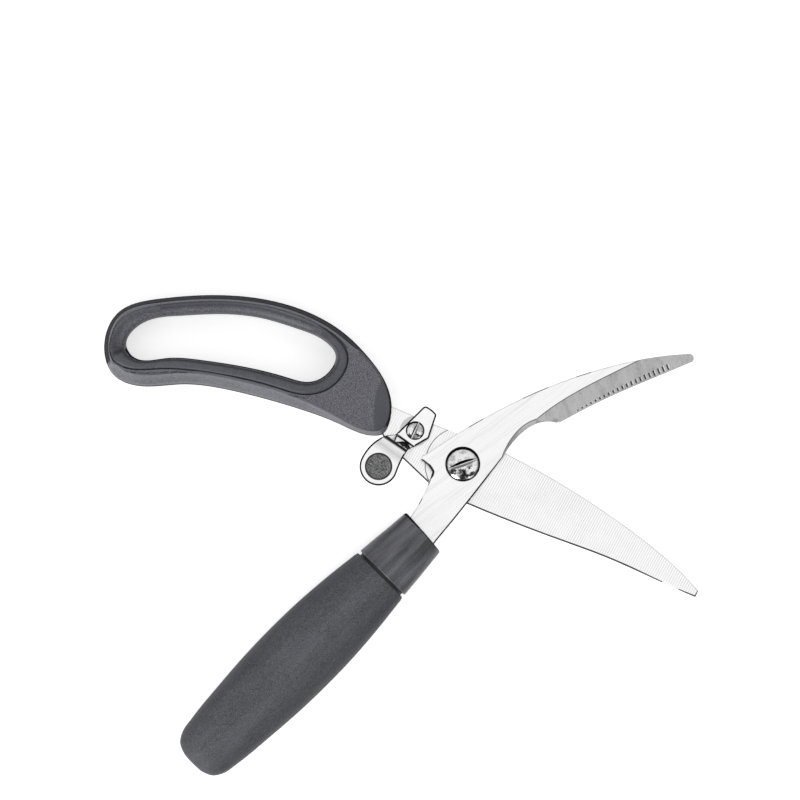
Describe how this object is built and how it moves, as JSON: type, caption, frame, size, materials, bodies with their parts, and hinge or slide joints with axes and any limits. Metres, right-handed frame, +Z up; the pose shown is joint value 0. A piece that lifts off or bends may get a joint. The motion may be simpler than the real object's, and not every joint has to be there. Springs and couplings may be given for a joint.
{
  "type": "poultry shears",
  "caption": "Spring-opened poultry shears with curved blades, a serrated upper edge, a bone notch, a closed loop handle, a straight soft grip and a swinging latch.",
  "frame": {"origin": "on the table that the shears lie on, under the middle of the whole part's box, with the shears fully open", "axes": "+X towards the blade tips, +Y towards the side with the loop handle, +Z up, along the pivot screw towards its slotted head"},
  "size_m": [0.2356, 0.1901, 0.0208],
  "materials": {
    "blade_steel": "fine lengthwise brushing, satin ground bevels",
    "screw_steel": "polished",
    "hardware_steel": "satin",
    "spring_steel": "bright drawn wire",
    "latch_steel": "mirror polished",
    "collar_plastic": "smooth satin",
    "core_plastic": "moulded",
    "handle_plastic": "fine spark-eroded grain",
    "rim_plastic": "smooth satin",
    "grip_rubber": "soft matte",
    "pad_rubber": "fine grained"
  },
  "bodies": {
    "straight_side": {"upper_blade": "blade_steel", "pivot_screw": "screw_steel", "pivot_bushing": "hardware_steel", "pivot_cone_washer": "hardware_steel", "pivot_nut": "screw_steel", "opening_stop_pin": "hardware_steel", "opening_spring": "spring_steel", "grip_collar": "collar_plastic", "grip_core": "core_plastic", "grip_sleeve": "grip_rubber", "grip_tang_pins": "hardware_steel"},
    "loop_side": {"lower_blade": "blade_steel", "loop_handle_body": "handle_plastic", "loop_handle_rim": "rim_plastic", "loop_tang_pins": "hardware_steel", "latch_washer": "hardware_steel", "latch_screw": "screw_steel", "latch_nut": "hardware_steel"},
    "latch": {"latch_lever": "latch_steel", "latch_pad": "pad_rubber"}
  },
  "joints": [
    {"name": "blade_pivot", "type": "hinge", "parent": "straight_side", "child": "loop_side", "pos_m": [0.0247, 0.0274, 0.0089], "axis": [0, 0, 1], "range_deg": [0, 54.5], "stiffness_Nm_per_rad": 0.3, "springref_deg": -28.65},
    {"name": "latch_pivot", "type": "hinge", "parent": "loop_side", "child": "latch", "pos_m": [0.0059, 0.0407, 0.0104], "axis": [0, 0, -1], "range_deg": [0, 60]}
  ]
}
